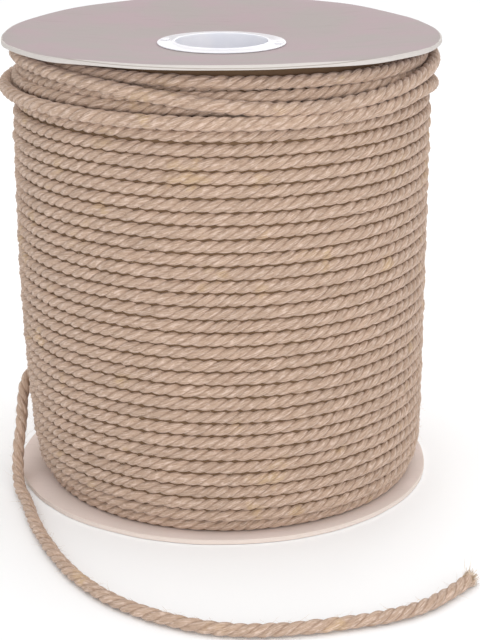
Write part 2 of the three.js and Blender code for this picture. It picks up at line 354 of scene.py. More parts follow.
class Effects:
    """Surface effects that more than one finish uses, each built once as a node group."""

    made: dict[str, bpy.types.NodeTree] = {}

    @classmethod
    def group(
        cls,
        name: str,
        inputs: dict[str, tuple[str, object]],
        outputs: Iterable[str],
        fill: Callable[[Graph, bpy.types.Node, bpy.types.Node], None],
    ) -> bpy.types.NodeTree:
        """Returns the named group, and builds it the first time.

        Args:
            name: The group's name.
            inputs: Socket type and first value of each input, by name.
            outputs: Names of the outputs, which are all values.
            fill: Adds the nodes between the group's input and output nodes.

        Returns:
            The group's node tree.
        """
        if name not in cls.made:
            tree = bpy.data.node_groups.new(name, "ShaderNodeTree")
            for label, (kind, value) in inputs.items():
                socket = tree.interface.new_socket(label, in_out="INPUT", socket_type=kind)
                if value is not None:
                    socket.default_value = value
            for label in outputs:
                tree.interface.new_socket(label, in_out="OUTPUT", socket_type="NodeSocketFloat")
            graph = Graph(tree)
            entry = tree.nodes.new("NodeGroupInput")
            leave = tree.nodes.new("NodeGroupOutput")
            fill(graph, entry, leave)
            cls.made[name] = tree
        return cls.made[name]

    @classmethod
    def laid_fibre(cls) -> bpy.types.NodeTree:
        """Fibres and yarns of laid rope, and painted shade where its strands meet, read from its strand
        map.
        """
        strand_width = 0.0084
        slant = math.radians(30)
        along = (math.cos(slant), strand_width * math.sin(slant), 0.0)
        across = (-math.sin(slant), strand_width * math.cos(slant), 0.0)

        def fill(graph: Graph, entry: bpy.types.Node, leave: bpy.types.Node) -> None:
            """Joins the strand map to the fibre values."""
            strands = entry.outputs["Strands"]
            length = graph.dot(strands, along)
            width = graph.dot(strands, across)
            streak_place = graph.together(
                graph.maths("MULTIPLY", length, 110.0), graph.maths("MULTIPLY", width, 1900.0)
            )
            streak = graph.noise(streak_place, 1.0, 3.0)
            wander_place = graph.together(
                graph.maths("MULTIPLY", length, 60.0), graph.maths("MULTIPLY", width, 260.0)
            )
            wander = graph.noise(wander_place, 1.0)
            turns = graph.maths("MULTIPLY", width, entry.outputs["Yarns per metre"])
            phase = graph.maths("ADD", turns, graph.maths("MULTIPLY", wander, 1.3))
            wave = graph.maths("SINE", graph.maths("MULTIPLY", phase, 2 * math.pi))
            yarn = graph.maths("MULTIPLY_ADD", wave, 0.5)
            yarn.node.inputs[2].default_value = 0.5
            strand = graph.dot(strands, (0.0, 1.0, 0.0))
            part = graph.maths("FRACT", strand)
            off_crest = graph.maths("ABSOLUTE", graph.maths("SUBTRACT", part, 0.5))
            # Painted shade: darker where the strands meet, away from each crest.
            valley_shade = graph.band(off_crest, 0.33, 0.5)
            tuft_place = graph.together(
                graph.maths("MULTIPLY", length, 210.0), graph.maths("MULTIPLY", width, 620.0)
            )
            tuft = graph.noise(tuft_place, 1.0, 3.0)
            own = graph.maths("MULTIPLY", graph.maths("FLOOR", strand), 5.3)
            slow = graph.maths("MULTIPLY", graph.dot(strands, (1.0, 0.0, 0.0)), 26.0)
            tint = graph.noise(graph.together(slow, own), 1.0)
            for label, socket in (
                ("Streak", streak),
                ("Tuft", tuft),
                ("Yarn", yarn),
                ("Valley shade", valley_shade),
                ("Tint", tint),
            ):
                graph.feed(leave.inputs[label], socket)

        inputs = {
            "Strands": ("NodeSocketVector", None),
            "Yarns per metre": ("NodeSocketFloat", 620.0),
        }
        outputs = ("Streak", "Tuft", "Yarn", "Valley shade", "Tint")
        return cls.group("laid_fibre", inputs, outputs, fill)

    @classmethod
    def patches(cls) -> bpy.types.NodeTree:
        """Broad uneven patches and a fine grain, on object coordinates."""

        def fill(graph: Graph, entry: bpy.types.Node, leave: bpy.types.Node) -> None:
            """Joins the place to the patch values."""
            place = entry.outputs["Place"]
            broad = graph.noise(place, 1.0, 3.0)
            fine = graph.noise(place, 1.0, 4.0)
            graph.feed(broad.node.inputs["Scale"], entry.outputs["Patch scale"])
            graph.feed(fine.node.inputs["Scale"], entry.outputs["Grain scale"])
            graph.feed(leave.inputs["Patch"], graph.band(broad, 0.34, 0.66))
            graph.feed(leave.inputs["Grain"], fine)

        inputs = {
            "Place": ("NodeSocketVector", None),
            "Patch scale": ("NodeSocketFloat", 20.0),
            "Grain scale": ("NodeSocketFloat", 400.0),
        }
        return cls.group("patches", inputs, ("Patch", "Grain"), fill)

    @classmethod
    def rim_wear(cls) -> bpy.types.NodeTree:
        """A worn band at the rim of a round piece, ragged on its inner side."""

        def fill(graph: Graph, entry: bpy.types.Node, leave: bpy.types.Node) -> None:
            """Joins the place to the wear value."""
            place = entry.outputs["Place"]
            level = graph.add("VectorMath", {0: place, 1: (1.0, 1.0, 0.0)}, operation="MULTIPLY")
            reach = graph.add("VectorMath", {0: level.outputs[0]}, operation="LENGTH")
            inward = graph.maths(
                "SUBTRACT", entry.outputs["Rim radius"], reach.outputs["Value"]
            )
            ragged = graph.maths("MULTIPLY", graph.noise(place, 160.0, 3.0), 2.0)
            width = graph.maths("MULTIPLY", entry.outputs["Width"], ragged)
            share = graph.maths("DIVIDE", inward, width)
            graph.feed(leave.inputs["Wear"], graph.band(share, 1.25, 0.75))

        inputs = {
            "Place": ("NodeSocketVector", None),
            "Rim radius": ("NodeSocketFloat", 0.1375),
            "Width": ("NodeSocketFloat", 0.0008),
        }
        return cls.group("rim_wear", inputs, ("Wear",), fill)


def new_material(name: str) -> tuple[bpy.types.Material, Graph, bpy.types.Node]:
    """A material with only its shader, and the graph to add the rest to."""
    material = bpy.data.materials.new(name)
    material.use_nodes = True
    graph = Graph(material.node_tree)
    shader = next(n for n in material.node_tree.nodes if n.type == "BSDF_PRINCIPLED")
    return material, graph, shader


@dataclass(frozen=True)
class JuteFinish:
    """Dry laid jute: strands with slanted fibres, darkened with painted shade where the strands meet.
    """

    name: str
    body: tuple[float, float, float, float] = screen_colour(190, 163, 143)
    pale: tuple[float, float, float, float] = screen_colour(226, 203, 188)
    golden: tuple[float, float, float, float] = screen_colour(198, 168, 130)
    brown: tuple[float, float, float, float] = screen_colour(136, 107, 86)
    warm_share: float = 0.6
    dull_share: float = 0.5
    bright_share: float = 0.65
    dark_share: float = 0.38
    # How far the painted shade where the strands meet goes towards brown.
    valley_shade_share: float = 0.42
    tint_span: float = 0.34
    tint_low: float = 0.75
    depth: float = 0.00035

    def material(self) -> bpy.types.Material:
        """Builds the finish on the strand map."""
        material, graph, shader = new_material(self.name)
        strands = graph.add("UVMap", uv_map=STRAND_MAP).outputs["UV"]
        place = graph.add("TexCoord").outputs["Object"]
        fibre = graph.use(Effects.laid_fibre(), Strands=strands)
        golden_spots = graph.band(graph.noise(place, 42.0), 0.62, 0.72)
        warm = graph.maths("MULTIPLY", golden_spots, self.warm_share)
        colour = graph.blend(warm, self.body, self.golden)
        colour = graph.blend(graph.band(fibre.outputs["Streak"], 0.5, 0.76), colour, self.pale)
        low_streak = graph.band(fibre.outputs["Streak"], 0.46, 0.26)
        dull = graph.maths("MULTIPLY", low_streak, self.dull_share)
        colour = graph.blend(dull, colour, self.brown)
        high_tuft = graph.band(fibre.outputs["Tuft"], 0.52, 0.68)
        bright = graph.maths("MULTIPLY", high_tuft, self.bright_share)
        colour = graph.blend(bright, colour, self.pale)
        low_tuft = graph.band(fibre.outputs["Tuft"], 0.44, 0.3)
        dark = graph.maths("MULTIPLY", low_tuft, self.dark_share)
        colour = graph.blend(dark, colour, self.brown)
        # Painted shade where the strands meet, towards brown.
        valley_shade = graph.maths("MULTIPLY", fibre.outputs["Valley shade"], self.valley_shade_share)
        colour = graph.blend(valley_shade, colour, self.brown)
        tint = graph.maths("MULTIPLY_ADD", fibre.outputs["Tint"], self.tint_span)
        tint.node.inputs[2].default_value = self.tint_low
        graph.feed(shader.inputs["Base Color"], graph.shade(colour, tint))
        shader.inputs["Roughness"].default_value = 0.9
        shader.inputs["Sheen Weight"].default_value = 0.18
        shader.inputs["Specular IOR Level"].default_value = 0.25
        relief = graph.maths(
            "ADD",
            graph.maths("MULTIPLY", fibre.outputs["Yarn"], 0.5),
            graph.maths("MULTIPLY", fibre.outputs["Tuft"], 1.6),
        )
        bump = graph.add("Bump", {"Height": relief, "Distance": self.depth, "Strength": 0.8})
        graph.feed(shader.inputs["Normal"], bump.outputs["Normal"])
        return material


@dataclass(frozen=True)
class FibreFinish:
    """Single jute fibres and hairs."""

    name: str
    pale: tuple[float, float, float, float] = screen_colour(224, 205, 184)
    brown: tuple[float, float, float, float] = screen_colour(176, 150, 124)

    def material(self) -> bpy.types.Material:
        """Builds the finish, uneven from fibre to fibre."""
        material, graph, shader = new_material(self.name)
        place = graph.add("TexCoord").outputs["Object"]
        patch = graph.use(Effects.patches(), Place=place, Patch_scale=300.0, Grain_scale=2000.0)
        graph.feed(
            shader.inputs["Base Color"],
            graph.blend(patch.outputs["Patch"], self.brown, self.pale),
        )
        shader.inputs["Roughness"].default_value = 0.8
        shader.inputs["Specular IOR Level"].default_value = 0.3
        return material


@dataclass(frozen=True)
class BoardFinish:
    """Pressed grey board: a mottled face, and a paler rim with its plies showing."""

    name: str
    rim_radius: float
    face: tuple[float, float, float, float] = screen_colour(173, 155, 158)
    blotch: tuple[float, float, float, float] = screen_colour(168, 158, 156)
    pulp: tuple[float, float, float, float] = screen_colour(150, 140, 134)
    rim: tuple[float, float, float, float] = screen_colour(204, 198, 193)
    ply: tuple[float, float, float, float] = screen_colour(160, 150, 142)
    fleck_share: float = 0.35
    grain_share: float = 0.3

    def material(self) -> bpy.types.Material:
        """Builds the finish on object coordinates."""
        material, graph, shader = new_material(self.name)
        place = graph.add("TexCoord").outputs["Object"]
        patch = graph.use(Effects.patches(), Place=place, Patch_scale=24.0, Grain_scale=900.0)
        wear = graph.use(
            Effects.rim_wear(), Place=place, Rim_radius=self.rim_radius, Width=0.0009
        )
        colour = graph.blend(patch.outputs["Patch"], self.face, self.blotch)
        drawn = graph.add("Mapping", {"Vector": place, "Scale": (40.0, 420.0, 40.0)})
        fibres = graph.noise(drawn.outputs[0], 1.0, 3.0)
        flecks = graph.maths("MULTIPLY", graph.band(fibres, 0.56, 0.8), self.fleck_share)
        colour = graph.blend(flecks, colour, self.pulp)
        grain_spots = graph.band(patch.outputs["Grain"], 0.58, 0.8)
        grain = graph.maths("MULTIPLY", grain_spots, self.grain_share)
        colour = graph.blend(grain, colour, self.pulp)
        height = graph.dot(place, (0.0, 0.0, 1.0))
        plies = graph.noise(graph.together(0.0, 0.0, graph.maths("MULTIPLY", height, 900.0)), 1.0)
        rim = graph.blend(graph.band(plies, 0.5, 0.64), self.rim, self.ply)
        colour = graph.blend(wear.outputs["Wear"], colour, rim)
        graph.feed(shader.inputs["Base Color"], colour)
        shader.inputs["Roughness"].default_value = 0.82
        shader.inputs["Specular IOR Level"].default_value = 0.3
        relief = graph.maths("ADD", patch.outputs["Grain"], fibres)
        bump = graph.add("Bump", {"Height": relief, "Distance": 0.00012, "Strength": 0.5})
        graph.feed(shader.inputs["Normal"], bump.outputs["Normal"])
        return material


@dataclass(frozen=True)
class HubFinish:
    """Smooth moulded white plastic, faintly scuffed, with painted shade on what faces up."""

    name: str
    clean: tuple[float, float, float, float] = screen_colour(252, 251, 255)
    dull: tuple[float, float, float, float] = screen_colour(238, 240, 249)
    # Grey of the painted shade on faces that look up.
    upface_shade: tuple[float, float, float, float] = screen_colour(186, 182, 187)

    def material(self) -> bpy.types.Material:
        """Builds the finish on object coordinates."""
        material, graph, shader = new_material(self.name)
        place = graph.add("TexCoord").outputs["Object"]
        patch = graph.use(Effects.patches(), Place=place, Patch_scale=45.0, Grain_scale=1500.0)
        dull = graph.maths("MULTIPLY", patch.outputs["Patch"], 0.6)
        colour = graph.blend(dull, self.clean, self.dull)
        # Painted shade: faces that look straight up are greyed.
        upward = graph.dot(graph.add("NewGeometry").outputs["Normal"], (0.0, 0.0, 1.0))
        painted_upface_shade = graph.maths("MULTIPLY", graph.band(upward, 0.9, 0.99), 0.8)
        graph.feed(shader.inputs["Base Color"], graph.blend(painted_upface_shade, colour, self.upface_shade))
        rough = graph.maths("MULTIPLY_ADD", patch.outputs["Grain"], 0.25)
        rough.node.inputs[2].default_value = 0.2
        graph.feed(shader.inputs["Roughness"], rough)
        shader.inputs["Coat Weight"].default_value = 0.3
        shader.inputs["Coat Roughness"].default_value = 0.15
        bump = graph.add(
            "Bump", {"Height": patch.outputs["Grain"], "Distance": 0.00002, "Strength": 0.4}
        )
        graph.feed(shader.inputs["Normal"], bump.outputs["Normal"])
        return material


@dataclass(frozen=True)
class PlainFinish:
    """One quiet colour with a faint grain, for the floor and for the mostly covered inner layers, whose
    dark colour is painted shade in the grooves.
    """

    name: str
    colour: tuple[float, float, float, float]
    darker: tuple[float, float, float, float]
    scale: float = 60.0

    def material(self) -> bpy.types.Material:
        """Builds the finish on object coordinates."""
        material, graph, shader = new_material(self.name)
        place = graph.add("TexCoord").outputs["Object"]
        patch = graph.use(
            Effects.patches(), Place=place, Patch_scale=self.scale, Grain_scale=600.0
        )
        share = graph.maths("MULTIPLY", patch.outputs["Grain"], 0.5)
        graph.feed(shader.inputs["Base Color"], graph.blend(share, self.colour, self.darker))
        shader.inputs["Roughness"].default_value = 0.9
        return material


@dataclass
class RopeLine:
    """A rope's centreline in even steps, with a frame at each step that doesn't twist."""

    points: np.ndarray
    normals: np.ndarray
    binormals: np.ndarray
    spacing: float

    @classmethod
    def through(cls, points: np.ndarray, spacing: float) -> "RopeLine":
        """Resamples a dense polyline and carries a frame along it.

        Args:
            points: Points of the line, closer together than the spacing or nearly so.
            spacing: The wanted step in metres.

        Returns:
            The line.
        """
        gaps = np.linalg.norm(np.diff(points, axis=0), axis=1)
        reach = np.concatenate([[0.0], np.cumsum(gaps)])
        steps = max(2, round(reach[-1] / spacing))
        places = np.linspace(0.0, reach[-1], steps + 1)
        even = np.stack([np.interp(places, reach, points[:, axis]) for axis in range(3)], axis=1)
        tangents = np.gradient(even, axis=0)
        tangents /= np.linalg.norm(tangents, axis=1)[:, None]
        up = np.array([0.0, 0.0, 1.0])
        normal = up - tangents[0] * tangents[0].dot(up)
        normals = [normal / np.linalg.norm(normal)]
        for tangent in tangents[1:]:
            normal = normals[-1] - tangent * tangent.dot(normals[-1])
            normals.append(normal / np.linalg.norm(normal))
        across = np.array(normals)
        return cls(even, across, np.cross(tangents, across), reach[-1] / steps)

    @property
    def reach(self) -> np.ndarray:
        """The distance of each step from the line's start."""
        return np.arange(len(self.points)) * self.spacing

    def step_at(self, distance: float) -> int:
        """The step nearest to a distance from the start."""
        return int(np.clip(round(distance / self.spacing), 0, len(self.points) - 1))


@dataclass(frozen=True)
class LaidRope:
    """Rope of three strands laid left-handed round one another."""

    diameter: float = 0.008
    lay_length: float = 0.0256
    strands: int = 3
    strand_share: float = 0.65
    offset_share: float = 0.35
    points_per_strand: int = 6
    steps_per_lay: int = 12
    unevenness: float = 0.07
    lay_drift: float = 0.0013
    strand_drift_deg: float = 7.0
    drift_wave: float = 0.16
    uneven_wave: float = 0.06
    shift_wave: float = 0.11
    seed: int = 7

    @property
    def spacing(self) -> float:
        """The distance between two rings of the rope's skin."""
        return self.lay_length / self.steps_per_lay

    def outline(self) -> tuple[np.ndarray, np.ndarray]:
        """Angle and radius of each point of the section, strand by strand."""
        width = 360 / self.strands
        places = np.arange(self.points_per_strand)
        own = np.radians(width / self.points_per_strand * places - width / 2)
        radius = self.diameter / 2
        offset = self.offset_share * radius
        strand = self.strand_share * radius
        reach = offset * np.cos(own) + np.sqrt(strand**2 - (offset * np.sin(own)) ** 2)
        starts = 2 * math.pi / self.strands * np.arange(self.strands)
        angles = (starts[:, None] + own[None, :]).ravel()
        return angles, np.tile(reach, self.strands)

    def per_point(self, wavers: Sequence[Waver], distance: np.ndarray) -> np.ndarray:
        """One waver for each strand, given to all the strand's points at every distance."""
        each = np.stack([waver.at(distance) for waver in wavers], axis=1)
        return np.repeat(each, self.points_per_strand, axis=1)

    def skin(
        self, name: str, line: RopeLine, first: int, last: int, start: float = 0.0
    ) -> bpy.types.Object:
        """Makes the closed skin of one stretch of a line.

        Args:
            name: The piece's name.
            line: The whole line, so that stretches meet with their strands in step.
            first: The stretch's first step.
            last: The stretch's last step.
            start: Distance along the rope at the line's start.

        Returns:
            The piece, with its strand map.
        """
        angles, reach = self.outline()
        count = len(angles)
        distance = line.reach[first : last + 1] + start
        drift = self.lay_drift * Waver(self.seed + 9, self.drift_wave).at(distance)
        twist = -2 * math.pi * (distance + drift) / self.lay_length
        strands = range(self.strands)
        uneven = self.per_point(
            [Waver(self.seed + k, self.uneven_wave) for k in strands], distance
        )
        shifted = self.per_point(
            [Waver(self.seed + self.strands + k, self.shift_wave) for k in strands], distance
        )
        shift = math.radians(self.strand_drift_deg) / WAVER_REACH * shifted
        theta = angles[None, :] + twist[:, None] + shift
        crest = reach / reach.max()
        radii = reach[None, :] * (1 + self.unevenness * 0.6 * uneven * crest[None, :] ** 2)
        rings = (
            line.points[first : last + 1, None, :]
            + (radii * np.cos(theta))[..., None] * line.normals[first : last + 1, None, :]
            + (radii * np.sin(theta))[..., None] * line.binormals[first : last + 1, None, :]
        )
        steps = last - first
        here = (np.arange(steps)[:, None] * count + np.arange(count)[None, :]).ravel()
        following = (
            np.arange(steps)[:, None] * count + (np.arange(count)[None, :] + 1) % count
        ).ravel()
        quads = np.stack([here, following, following + count, here + count], axis=1)
        faces = quads.tolist()
        faces.append(list(range(count - 1, -1, -1)))
        faces.append(list(range(steps * count, (steps + 1) * count)))
        mesh = bpy.data.meshes.new(name)
        mesh.from_pydata(rings.reshape(-1, 3).tolist(), [], faces)
        near = np.repeat(distance[:-1], count)
        far = np.repeat(distance[1:], count)
        low = np.tile(np.arange(count) / self.points_per_strand, steps)
        high = low + 1 / self.points_per_strand
        corners = np.stack([near, low, near, high, far, high, far, low], axis=1).reshape(-1)
        ends = np.concatenate(
            [
                np.tile([distance[0], END_STRAND], count),
                np.tile([distance[-1], END_STRAND], count),
            ]
        )
        strand_map = mesh.uv_layers.new(name=STRAND_MAP)
        strand_map.data.foreach_set("uv", np.concatenate([corners, ends]).astype(np.float32))
        obj = bpy.data.objects.new(name, mesh)
        bpy.context.collection.objects.link(obj)
        Bench.smooth(obj, 46)
        return obj


@dataclass(frozen=True)
class SlackTurn:
    """How one loose turn stands away from its place in the level winding.

    proud and bulge are how far it stands out over the others and how much more towards bulge_at.
    lift and lean are the same for its height. Sizes are in millimetres and angles in degrees.
    """

    turn: int
    proud: float
    bulge: float
    bulge_at: float
    lift: float
    lean: float
    lean_at: float


@dataclass(frozen=True)
class OuterTurn:
    """A loose turn that lies over the others, in millimetres and degrees.

    Its crest is at radius, and bulge more towards bulge_at. Its height is lean more towards lean_at,
    and rise more (or less) round rise_at, fading away within rise_width.
    """

    radius: float
    bulge: float
    bulge_at: float
    height: float
    lean: float
    lean_at: float
    rise: float
    rise_at: float
    rise_width: float

    def at(self, azimuth: np.ndarray) -> tuple[np.ndarray, np.ndarray]:
        """Heights and crest radii at these azimuths, in metres."""
        off = azimuth - math.radians(self.rise_at)
        off = np.degrees(np.arctan2(np.sin(off), np.cos(off)))
        rise = self.rise * np.exp(-((off / self.rise_width) ** 2))
        lean = self.lean * np.cos(azimuth - math.radians(self.lean_at))
        bulge = self.bulge * np.cos(azimuth - math.radians(self.bulge_at))
        return (self.height + lean + rise) / 1000, (self.radius + bulge) / 1000


@dataclass(frozen=True)
class WindingShape:
    """Where each turn of the winding lies, the same as in the part."""

    outer_radius: float = 0.1336
    turns: int = 35
    first_turn: float = 0.0074
    pitch: float = 0.00818
    groove: float = 0.0028
    waver: float = 0.00035
    bottom_draw: float = 0.0058
    bottom_fade: float = 0.9
    left_sag: float = 0.0086
    left_sag_top: float = 0.165
    jog_start: float = 30.0
    jog_end: float = 75.0
    outer_clearance: float = 0.0007
    slack: tuple[SlackTurn, ...] = (
        SlackTurn(30, -0.4, 0.3, 0, 0.0, 0.3, 60),
        SlackTurn(31, -1.2, 0.4, 0, 0.4, 0.5, 105),
        SlackTurn(32, -2.0, 2.0, 190, -1.2, 0.3, 90),
        SlackTurn(33, -2.4, 1.6, 190, -2.6, 0.5, 240),
        SlackTurn(34, -3.2, 0.6, 320, -4.4, 1.2, 300),
        SlackTurn(35, -6.0, 3.4, 320, -3.5, 1.8, 200),
    )
    outer: tuple[OuterTurn, ...] = (
        OuterTurn(135.6, 2.6, 330, 281.0, 1.6, 190, -13.0, 291, 47),
        OuterTurn(139.2, 1.7, 180, 260.6, 0.8, 210, 4.5, 336, 18),
    )

    def crest(self, turn: int, height: float, azimuth: np.ndarray) -> np.ndarray:
        """How far the outer crest of a level turn lies from the axis, before it is slack."""
        low = max(0.0, 1 - height / self.left_sag_top) ** 1.8
        leftness = np.maximum(0.0, -np.cos(azimuth)) ** 1.5
        draw = self.bottom_draw * math.exp((1 - turn) / self.bottom_fade)
        waver = self.waver * np.sin(2.4 * turn + 3 * azimuth)
        return self.outer_radius - self.left_sag * low * leftness - draw + waver

    def turn_at(self, turn: int, azimuth: np.ndarray) -> tuple[np.ndarray, np.ndarray]:
        """Height of a turn and radius of its crest at each azimuth.

        Args:
            turn: The turn's number, from 1 at the bottom. The outer turns follow the others.
            azimuth: Angles in radians, anticlockwise from above.

        Returns:
            The heights and the crest radii.
        """
        if turn > self.turns:
            height, radius = self.outer[turn - self.turns - 1].at(azimuth)
            return np.minimum(height, self.ceiling(radius, azimuth) - self.outer_clearance), radius
        level = self.first_turn + (turn - 1) * self.pitch
        height = np.full_like(azimuth, level)
        radius = self.crest(turn, level, azimuth)
        for row in self.slack:
            if row.turn == turn:
                bulge = row.bulge * np.cos(azimuth - math.radians(row.bulge_at))
                lean = row.lean * np.cos(azimuth - math.radians(row.lean_at))
                radius = radius + (row.proud + bulge) / 1000
                height = height + (row.lift + lean) / 1000
        return np.minimum(height, self.ceiling(radius, azimuth)), radius

    def ceiling(self, radius: np.ndarray, azimuth: np.ndarray) -> np.ndarray:
        """How high the middle of a rope under the top board can lie."""
        board = REEL.middle_height + REEL.dish_rise(radius - self.groove, azimuth)
        return board - REEL.board - REEL.gap - ROPE.diameter / 2

    @property
    def all_turns(self) -> int:
        """The number of the last turn."""
        return self.turns + len(self.outer)

    def axis_line(self, first_deg: float, last_deg: float) -> np.ndarray:
        """The rope's centreline, wound on through several turns.

        Args:
            first_deg: Where it starts. Turn n runs from jog_end + 360 (n - 1) for one full turn.
            last_deg: Where it ends, on the same scale.

        Returns:
            Its points.
        """
        wound = np.arange(first_deg, last_deg + WOUND_STEP / 2, WOUND_STEP)
        azimuth = np.radians(wound)
        turn = np.floor((wound - self.jog_end) / 360.0).astype(int) + 1
        in_turn = wound - self.jog_end - 360.0 * (turn - 1)
        jog_width = self.jog_end - self.jog_start
        share = soft_step((in_turn - (360.0 - jog_width)) / jog_width)
        height = np.zeros_like(wound)
        radius = np.zeros_like(wound)
        for number in range(turn.min(), turn.max() + 1):
            here = turn == number
            z0, r0 = self.turn_at(max(number, 1), azimuth[here])
            z1, r1 = self.turn_at(min(max(number + 1, 1), self.all_turns), azimuth[here])
            height[here] = z0 + (z1 - z0) * share[here]
            radius[here] = r0 + (r1 - r0) * share[here]
        radius = radius - ROPE.diameter / 2
        return np.stack([radius * np.cos(azimuth), radius * np.sin(azimuth), height], axis=1)

    def wound(self, turn: int, azimuth_deg: float) -> float:
        """The place of a turn's azimuth on the wound scale of axis_line."""
        from_jog = (azimuth_deg - self.jog_end) % 360.0
        return self.jog_end + 360.0 * (turn - 1) + from_jog


ROPE = LaidRope()
PRESSED_ROPE = LaidRope(diameter=0.00822)
SLACK_ROPE = LaidRope(diameter=0.0088)
SHAPE = WindingShape()

# The loose end's route, point for point the part's
LOOSE_ROUTE = np.array([
    (-0.1224, 0.0306, 0.0652),
    (-0.1250, 0.0184, 0.0654),
    (-0.1280, 0.0078, 0.0634),
    (-0.1326, 0.0002, 0.0564),
    (-0.1348, -0.0080, 0.0452),
    (-0.1348, -0.0175, 0.0342),
    (-0.1357, -0.0275, 0.0236),
    (-0.1357, -0.0385, 0.0138),
    (-0.1344, -0.0500, 0.0072),
    (-0.1318, -0.0630, 0.0046),
    (-0.1266, -0.0790, 0.0042),
    (-0.1186, -0.1095, 0.0042),
    (-0.1086, -0.1385, 0.0042),
    (-0.0970, -0.1660, 0.0042),
    (-0.0830, -0.1910, 0.0042),
    (-0.0630, -0.2155, 0.0042),
    (-0.0380, -0.2350, 0.0042),
    (-0.0120, -0.2475, 0.0042),
    (0.0120, -0.2520, 0.0042),
    (0.0380, -0.2505, 0.0042),
    (0.0660, -0.2445, 0.0042),
    (0.0920, -0.2365, 0.0042),
    (0.1120, -0.2260, 0.0042),
    (0.1270, -0.2120, 0.0042),
    (0.1380, -0.1990, 0.0042),
    (0.1425, -0.1935, 0.0042),
])


def smooth_route(points: np.ndarray, per_span: int = 24) -> np.ndarray:
    """A centripetal curve through given points, as the part draws it.

    Args:
        points: The points that it passes through.
        per_span: How many steps there are between two of them.

    Returns:
        The points of the curve.
    """
    before = 2 * points[0] - points[1]
    after = 2 * points[-1] - points[-2]
    held = np.vstack([before, points, after])
    share = np.linspace(0, 1, per_span, endpoint=False)[:, None]
    spans = []
    for p0, p1, p2, p3 in zip(held, held[1:], held[2:], held[3:]):
        d0, d1, d2 = (math.sqrt(np.linalg.norm(b - a)) for a, b in ((p0, p1), (p1, p2), (p2, p3)))
        leave = ((p1 - p0) / d0 - (p2 - p0) / (d0 + d1) + (p2 - p1) / d1) * d1
        arrive = ((p2 - p1) / d1 - (p3 - p1) / (d1 + d2) + (p3 - p2) / d2) * d1
        cubic = 2 * p1 - 2 * p2 + leave + arrive
        square = -3 * p1 + 3 * p2 - 2 * leave - arrive
        spans.append(p1 + leave * share + square * share**2 + cubic * share**3)
    return np.vstack([*spans, points[-1:]])


@dataclass
class Hairs:
    """Tapered fibres of three sides, many to a piece."""

    rings: int = 4
    sides: int = 3

    def piece(
        self,
        name: str,
        roots: np.ndarray,
        ways: np.ndarray,
        bends: np.ndarray,
        lengths: np.ndarray,
        thickness: np.ndarray,
    ) -> bpy.types.Object:
        """Makes one piece of many fibres.

        Args:
            name: The piece's name.
            roots: Where each fibre starts.
            ways: The direction in which each one starts.
            bends: The direction that each one bends towards.
            lengths: Length of each one.
            thickness: Diameter of each one at its root.

        Returns:
            The piece.
        """
        total = len(roots)
        ways = ways / np.linalg.norm(ways, axis=1)[:, None]
        side = np.cross(ways, np.array([0.31, 0.17, 0.93]))
        side /= np.linalg.norm(side, axis=1)[:, None]
        other = np.cross(ways, side)
        share = np.linspace(0, 1, self.rings)
        middle = (
            roots[:, None, :]
            + ways[:, None, :] * (lengths[:, None] * share)[..., None]
            + bends[:, None, :] * (lengths[:, None] * share**2)[..., None]
        )
        middle[..., 2] = np.maximum(middle[..., 2], 0.0004)
        radius = thickness[:, None] / 2 * (1 - 0.72 * share[None, :])
        turn = 2 * math.pi / self.sides * np.arange(self.sides)
        round_about = (
            np.cos(turn)[None, :, None] * side[:, None, :]
            + np.sin(turn)[None, :, None] * other[:, None, :]
        )
        points = middle[:, :, None, :] + radius[:, :, None, None] * round_about[:, None, :, :]
        per_hair = self.rings * self.sides
        quads = []
        for ring in range(self.rings - 1):
            for k in range(self.sides):
                k1 = (k + 1) % self.sides
                base = ring * self.sides
                quads.append((base + k, base + k1, base + self.sides + k1, base + self.sides + k))
        starts = (np.arange(total) * per_hair)[:, None, None]
        sides = (starts + np.array(quads)[None, :, :]).reshape(-1, 4)
        tip = (self.rings - 1) * self.sides
        caps = np.array([list(range(self.sides))[::-1], [tip + k for k in range(self.sides)]])
        ends = (starts + caps[None, :, :]).reshape(-1, self.sides)
        mesh = bpy.data.meshes.new(name)
        mesh.from_pydata(points.reshape(-1, 3).tolist(), [], sides.tolist() + ends.tolist())
        obj = bpy.data.objects.new(name, mesh)
        bpy.context.collection.objects.link(obj)
        return obj


